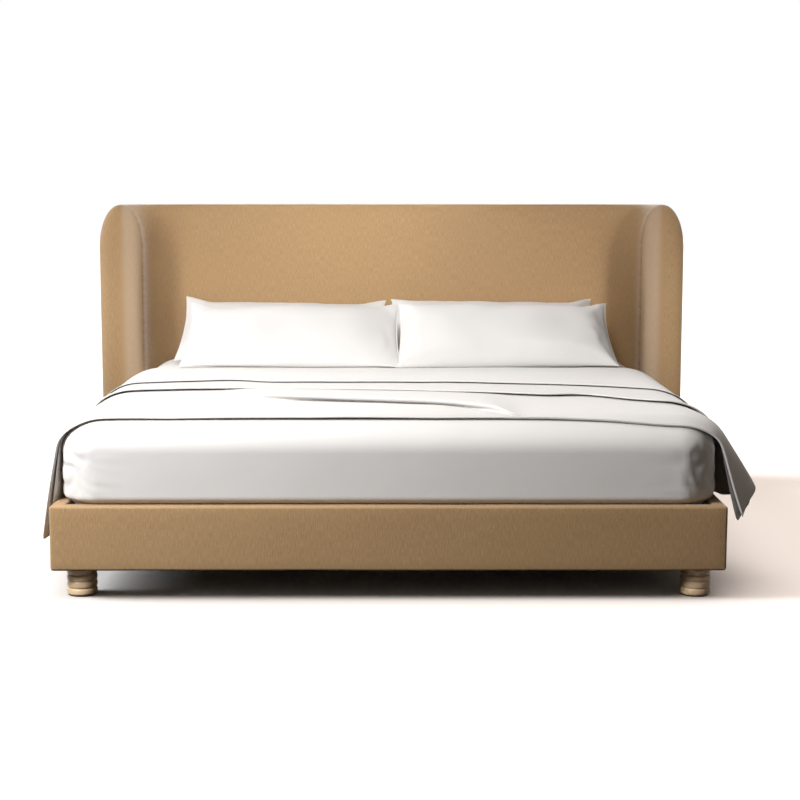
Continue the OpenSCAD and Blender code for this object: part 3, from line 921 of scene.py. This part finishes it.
# Where each cloth folds back, its height off the mattress, and how much of the sides' lean it takes
BLANKET_BACK, BLANKET_LOW, BLANKET_SPREAD = 0.140, 0.0085, 1.0
SHEET_BACK, SHEET_LOW, SHEET_SPREAD = 0.262, 0.0030, 0.75
PLEAT_RISE = 0.018
PLEAT_LAP = 0.016
PLEAT_ROLL = 0.017
# The pleat's section: how far forward of the crease, and how high, each as a share
PLEAT = (
    (0.0, 0.0), (-0.6, 0.0), (-1.3, 0.12), (-1.5, 0.45), (-1.1, 0.72),
    (-0.3, 0.85), (0.35, 0.97), (0.42, 1.16), (0.15, 1.28), (-0.4, 1.25),
)


def pleat_share(x):
    """How much of the pleat there is across the bed: none at its ends, all of it in the middle."""
    return smooth(-0.66, -0.05, x) * (1 - smooth(0.20, 0.42, x))


drapes = {}


def drape_at(side, y, spread):
    """The drape at a station; stations within a hundredth of a millimetre share one."""
    key = (side, round(y, 5), spread)
    if key not in drapes:
        drapes[key] = Drape(side, y, spread)
    return drapes[key]


def bedding_point(s, y, off, spread):
    """The place of a cloth's point, off above the mattress; the sides wave as they hang."""
    side = -1 if s < 0 else 1
    point = drape_at(side, y, spread).point(abs(s), off)
    hang = smooth(CORE_X + 0.12, CORE_X + 0.34, abs(s))
    point.x += side * 0.010 * hang * math.sin(y * 21 + 1.3 * side)
    return point


def held(s):
    """A place across the cloth, held to the stretch that the outlines are given for."""
    return min(max(s, -1.0), 1.0)


def crease_at(x, front):
    """Where the pleat's crease is, never forward of the front edge."""
    return max(along(CREASE, x), along(front, x) + 0.006)


def roll_row(across, share, front, low, spread):
    """A row between the front edge and the crease, on the roll in front of the pleat."""
    row = []
    for s in across:
        x = held(s)
        start = along(front, x)
        y = start + (crease_at(x, front) - start) * share
        roll = PLEAT_ROLL * pleat_share(x + 0.06) * math.sin(math.pi * share) ** 0.8
        row.append(bedding_point(s, y, low + roll, spread))
    return row


def pleat_row(across, forward, height, front, low, spread):
    """A row along the pleat's section."""
    row = []
    for s in across:
        x = held(s)
        much = pleat_share(x)
        y = crease_at(x, front) - forward * PLEAT_LAP * smooth(0.25, 0.9, much)
        rise = PLEAT_RISE * smooth(0.0, 0.3, much)
        row.append(bedding_point(s, y, low + rise * height, spread))
    return row


def rear_row(across, share, front, back, low, spread):
    """A row between the pleat and the fold, coming down off the pleat."""
    row = []
    for s in across:
        x = held(s)
        start = crease_at(x, front) + PLEAT_LAP / 2 * smooth(0.25, 0.9, pleat_share(x))
        rise = PLEAT_RISE * 1.2 * smooth(0.0, 0.3, pleat_share(x)) * (1 - smooth(0.0, 0.55, share))
        row.append(bedding_point(s, start + (back - start) * share, low + rise, spread))
    return row


def pleated_rows(across, front, back, low, spread):
    """Rows from the front edge to the fold, with the pleat that runs down to the front edge."""
    rows = [roll_row(across, share, front, low, spread) for share in spaced(0, 1, 12)[:-1]]
    rows += [pleat_row(across, forward, height, front, low, spread) for forward, height in PLEAT]
    rows += [rear_row(across, share, front, back, low, spread) for share in spaced(0, 1, 24)[1:]]
    return rows


def plain_rows(across, front, back, low, spread):
    """Rows from the front edge to the fold."""
    rows = []
    for share in spaced(0, 1, 30):
        row = []
        for s in across:
            start = along(front, held(s))
            row.append(bedding_point(s, start + (back - start) * share, low, spread))
        rows.append(row)
    return rows


def folded_cloth(name, material, across, rows, back, hem, low, rise, spread, thickness):
    """A cloth laid from its front edge to a fold at back, then folded forward over itself to hem."""
    fold = rise / 2
    for angle in spaced(-60, 60, 5):
        turn = math.radians(angle)
        y = back + fold * math.cos(turn) * 1.6
        rows.append([bedding_point(s, y, low + fold + fold * math.sin(turn), spread) for s in across])
    for share in spaced(0, 1, 26):
        row = []
        for s in across:
            end = along(hem, held(s))
            lift = 0.0025 * smooth(0.8, 1.0, share)
            row.append(bedding_point(s, back + (end - back) * share, low + rise + lift, spread))
        rows.append(row)
    for row in rows:
        for p in row:
            p.z += rumple(p, 0.22, 0.0020, 5.0) + rumple(p, 0.09, 0.0008, 7.0)
    piece = loft(name, rows, material, body="made_mattress")
    thicken(piece, thickness, offset=0.0)
    apply(piece, "SUBSURF", levels=1)
    shade_smooth(piece)
    return piece


def bedding():
    across = stations(1.318, 1.250)
    rows = pleated_rows(across, FRONT_EDGE, BLANKET_BACK, BLANKET_LOW, BLANKET_SPREAD)
    blanket = folded_cloth(
        "folded_blanket", blanket_cotton, across, rows, BLANKET_BACK, UPPER_HEM,
        low=BLANKET_LOW, rise=0.0090, spread=BLANKET_SPREAD, thickness=0.0060)
    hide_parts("blanket")

    across = stations(1.295, 1.275)
    front = tuple((x, y + 0.012) for x, y in FRONT_EDGE)
    rows = plain_rows(across, front, SHEET_BACK, SHEET_LOW, SHEET_SPREAD)
    sheet = folded_cloth(
        "folded_top_sheet", sheet_cotton, across, rows, SHEET_BACK, CUFF_HEM,
        low=SHEET_LOW, rise=0.0200, spread=SHEET_SPREAD, thickness=0.0022)
    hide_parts("top_sheet")


# ---------- pillows ----------

PILLOW_TILT = math.radians(28)
PILLOW_WIDTH = {"front": 0.862, "back": 0.868}
PILLOW_LENGTH = 0.445
PILLOW_THICKNESS = 0.130
PILLOW_SINK = {"front": 0.020, "back": 0.026}
PILLOW_SHIFT = {"left_front": 0.0, "right_front": 0.0, "left_back": -0.012, "right_back": -0.018}
PILLOW_SEED = {"left_front": 2.0, "right_front": 9.0, "left_back": 6.0, "right_back": 4.0}
# Where the flat hem at each end starts, as a share of half the width
HEM = 0.984
# How far the upper corners stand up, at the end by the bed's side and at the end by its middle
OUTER_EAR, INNER_EAR = 0.026, 0.016
PILLOW_CLOTH = {
    "quality": 5, "mass": 0.3, "bending_stiffness": 0.6,
    "tension_stiffness": 30, "compression_stiffness": 20, "shear_stiffness": 8,
    "use_pressure": True, "uniform_pressure_force": 4.0,
}


def cushion_point(u, v, face, width, seed):
    """A point of a pillow lying flat, u across and v along from -1 to 1, on its upper or lower face."""
    body = min(abs(u) / HEM, 1.0)
    crown = ((1 - body ** 2.8) * (1 - abs(v) ** 2.4)) ** 0.6
    x = u * width / 2 * (1 - 0.030 * (1 - v * v) * body ** 3 - 0.010 * v)
    y = v * PILLOW_LENGTH / 2 * (1 - 0.060 * (1 - u * u) * abs(v) ** 3)
    corner = smooth(0.72, 1.0, abs(u)) * smooth(0.45, 1.0, v)
    ear = (OUTER_EAR if u > 0 else INNER_EAR) * corner
    reach = 1 - max(abs(u), abs(v))
    puckers = rumple((u * 9, v * 3.2, face), 1.0, 0.010, seed) * bell(reach, 0.10, 0.10)
    dents = rumple((x, y, face), 0.16, 0.010, seed + 3)
    height = PILLOW_THICKNESS / 2 * crown * (1.0 if face > 0 else 0.85)
    height += crown * (dents + puckers) + 0.0015 * smooth(0, 0.01, reach)
    return Vector((x, y, face * height + ear + 0.006 * math.sin(u * 2.1 + seed) * v))


def pillow_shape(name, width, seed):
    """A closed pillow: two crowned faces sewn together all round, with a flat hem at both ends."""
    us = [HEM * math.sin(t) for t in spaced(-math.pi / 2, math.pi / 2, 61)]
    us = [-1.0, -0.993] + us + [0.993, 1.0]
    vs = [math.sin(t) for t in spaced(-math.pi / 2, math.pi / 2, 39)]
    verts, faces = [], []
    for face in (1, -1):
        start = len(verts)
        verts += [cushion_point(u, v, face, width, seed) for v in vs for u in us]
        for j in range(len(vs) - 1):
            for i in range(len(us) - 1):
                corner = start + j * len(us) + i
                quad = (corner, corner + 1, corner + len(us) + 1, corner + len(us))
                faces.append(quad if face > 0 else tuple(reversed(quad)))
    mesh = bpy.data.meshes.new(name)
    mesh.from_pydata(verts, [], faces)
    return mesh


def puff(piece, frames=16, most=0.011):
    """Blows the closed shape up as sewn cloth; no point moves further than most."""
    scene = bpy.context.scene
    cloth = piece.modifiers.new("cloth", "CLOTH")
    for key, value in PILLOW_CLOTH.items():
        setattr(cloth.settings, key, value)
    cloth.settings.effector_weights.gravity = 0
    cloth.collision_settings.use_collision = False
    cloth.point_cache.frame_start = 1
    cloth.point_cache.frame_end = frames
    for number in range(1, frames + 1):
        scene.frame_set(number)
    blown = bpy.data.meshes.new_from_object(piece.evaluated_get(bpy.context.evaluated_depsgraph_get()))
    piece.modifiers.remove(cloth)
    scene.frame_set(1)
    for vertex, end in zip(piece.data.vertices, blown.vertices):
        move = end.co - vertex.co
        vertex.co += move * min(1.0, most / max(move.length, 1e-6))
    bpy.data.meshes.remove(blown)


def lean(mesh, centre, flip):
    """Tilts the flat pillow back and moves it to its centre; a flip of -1 mirrors it."""
    cos, sin = math.cos(PILLOW_TILT), math.sin(PILLOW_TILT)
    for vertex in mesh.vertices:
        x, y, z = vertex.co
        vertex.co = centre + Vector((x * flip, y * cos - z * sin, y * sin + z * cos))


def pillows():
    for place, seed in PILLOW_SEED.items():
        side, row = place.split("_")
        node = f"{place}_pillow"
        mesh = pillow_shape(f"{place} pillow", PILLOW_WIDTH[row], seed)
        piece = show(mesh, f"{place}_stuffed_pillow", pillow_cotton, f"{place}_pillow_body")
        merge(piece)
        puff(piece)
        centre = (low_of(node) + high_of(node)) / 2 - UP * PILLOW_SINK[row]
        centre.x += PILLOW_SHIFT[place]
        lean(mesh, centre, flip=-1 if side == "left" else 1)
        merge(piece)
        apply(piece, "SUBSURF", levels=1)
        shade_smooth(piece)
        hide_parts(node, f"{place}_pillowcase")


# ---------- materials of the carried-over nodes ----------

NODE_MATERIALS = {
    "foot_pads": dark_plastic,
    "centre_glide_1": dark_plastic, "centre_glide_2": dark_plastic, "centre_glide_3": dark_plastic,
    "foot_bolts": zinc, "corner_bolts": zinc, "plate_bolts": zinc, "ledger_screws": zinc,
    "slat_screws": zinc,
    "rail_end_plates": black_steel, "beam_hangers": black_steel,
    "corner_blocks": pine_z, "centre_legs": pine_z, "headboard_posts": pine_z,
    "left_ledger": pine_y, "right_ledger": pine_y, "centre_beam": pine_y,
    "left_rail_core": pine_y, "right_rail_core": pine_y, "foot_rail_core": pine_x,
    "slats": pine_x, "headboard_sill": pine_x, "headboard_top_rail": pine_x, "headboard_mid_rails": pine_x,
    "headboard_face_board": plywood, "headboard_back_board": plywood,
    "left_wing_frame": plywood, "right_wing_frame": plywood,
}


def dress_nodes():
    for node, material in NODE_MATERIALS.items():
        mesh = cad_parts[node].data
        mesh.materials.clear()
        mesh.materials.append(material)


# ---------- floor, light and camera ----------

def floor():
    mesh = bpy.data.meshes.new("floor")
    reach = 40.0
    corners = [(-reach, -reach, 0), (reach, -reach, 0), (reach, reach, 0), (-reach, reach, 0)]
    mesh.from_pydata(corners, [], [(0, 1, 2, 3)])
    paint = Shader("floor", roughness=0.9, Specular_IOR_Level=0.1)
    tone = paint.noise((0.4, 0.4, 0.4))
    paint.colours(tone, [(0.0, (0.93, 0.93, 0.93)), (1.0, (0.95, 0.95, 0.95))])
    mesh.materials.append(paint.material)
    piece = bpy.data.objects.new("floor", mesh)
    piece.visible_diffuse = False
    bpy.context.scene.collection.objects.link(piece)
    piece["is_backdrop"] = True
    return piece


def lamp_at(name, light, place, target, receivers):
    """A lamp at a place, aimed at a target, that lights what its receivers' collection says."""
    lamp = bpy.data.objects.new(name, light)
    lamp.location = place
    lamp.rotation_euler = (Vector(target) - Vector(place)).to_track_quat("-Z", "Y").to_euler()
    lamp.light_linking.receiver_collection = receivers
    bpy.context.scene.collection.objects.link(lamp)


def softbox(name, place, target, size, power, receivers, beam=180):
    """A rectangular lamp; a beam under 180 degrees narrows it, as a grid on a soft box does."""
    light = bpy.data.lights.new(name, "AREA")
    light.spread = math.radians(beam)
    light.shape = "RECTANGLE"
    light.size, light.size_y = size
    light.energy = power
    lamp_at(name, light, place, target, receivers)


def skylight(name, direction, strength, spread, receivers, colour=(1, 1, 1)):
    """A broad, even light from far away."""
    light = bpy.data.lights.new(name, "SUN")
    light.energy = strength
    light.color = colour
    light.angle = math.radians(spread)
    lamp_at(name, light, direction, (0, 0, 0), receivers)


def receivers_of(name, pieces, state):
    """Light for these pieces alone (INCLUDE), or for all but these (EXCLUDE)."""
    group = bpy.data.collections.new(name)
    for piece in pieces:
        group.objects.link(piece)
    for link in group.collection_objects:
        link.light_linking.link_state = state
    return group


def sky():
    """Warm fill from the upper half of the sky, which the camera sees as white."""
    world = bpy.data.worlds.new("studio")
    bpy.context.scene.world = world
    world.use_nodes = True
    nodes = world.node_tree.nodes
    join = world.node_tree.links.new
    split = nodes.new("ShaderNodeSeparateXYZ")
    join(nodes.new("ShaderNodeTexCoord").outputs["Generated"], split.inputs[0])
    above = nodes.new("ShaderNodeMapRange")
    above.inputs["From Max"].default_value = 1 / 3
    above.inputs["To Max"].default_value = 0.20
    join(split.outputs["Z"], above.inputs["Value"])
    fill = nodes["Background"]
    fill.inputs["Color"].default_value = (1.0, 0.86, 0.72, 1)
    join(above.outputs["Result"], fill.inputs["Strength"])
    seen = nodes.new("ShaderNodeBackground")
    seen.inputs["Color"].default_value = (1, 1, 1, 1)
    pick = nodes.new("ShaderNodeMixShader")
    join(nodes.new("ShaderNodeLightPath").outputs["Is Camera Ray"], pick.inputs[0])
    join(fill.outputs[0], pick.inputs[1])
    join(seen.outputs[0], pick.inputs[2])
    join(pick.outputs[0], nodes["World Output"].inputs["Surface"])


def studio(ground, shell):
    """The lights. The headboard's shell has its own front lights, so that its hollows stay dark."""
    bpy.context.scene.view_settings.view_transform = "Standard"
    sky()
    on_bed = receivers_of("light on the bed", [ground], "EXCLUDE")
    on_base = receivers_of("light on the base and bedding", [ground] + shell, "EXCLUDE")
    on_shell = receivers_of("light on the headboard", shell, "INCLUDE")
    on_floor = receivers_of("light on the floor", [ground], "INCLUDE")
    softbox("key", (-2.4, -2.6, 2.5), (0.0, 0.0, 0.45), (1.3, 1.3), 190, on_base)
    softbox("front", (-0.15, -2.6, 1.9), (-0.1, 1.0, 0.86), (0.6, 0.6), 5.0, on_shell, beam=36)
    softbox("right wing", (2.6, -2.2, 1.5), (1.2, 0.68, 0.72), (0.5, 0.7), 1.9, on_shell, beam=24)
    softbox("left wing", (-2.6, -2.2, 1.5), (-1.2, 0.68, 0.72), (0.5, 0.7), 1.8, on_shell, beam=24)
    softbox("top", (-0.5, -0.5, 2.9), (0.0, 0.3, 0.6), (2.0, 1.6), 30, on_bed)
    softbox("rim", (-3.4, 1.5, 1.4), (-1.2, 0.3, 0.7), (1.2, 1.6), 55, on_bed)
    softbox("back", (1.6, 4.2, 2.4), (0.0, 1.1, 0.6), (2.5, 2.5), 160, on_bed)
    skylight("floor overhead", (0.0, 0.0, 1.0), 2.5, 70, on_floor, (1.0, 0.87, 0.80))
    skylight("floor side", (-1.0, 0.0, 0.5), 4.2, 30, on_floor)


def camera():
    lens_data = bpy.data.cameras.new("camera")
    lens_data.lens = 72.3
    lens_data.sensor_width = 36
    eye = bpy.data.objects.new("camera", lens_data)
    eye.location = (0.0344, -5.820, 1.204)
    eye.rotation_euler = (math.radians(90 - 7.227), 0, 0)
    bpy.context.scene.collection.objects.link(eye)
    bpy.context.scene.camera = eye


camera()
ground = floor()
shell = headboard()
rails()
feet()
mattress()
bedding()
pillows()
dress_nodes()
studio(ground, shell)
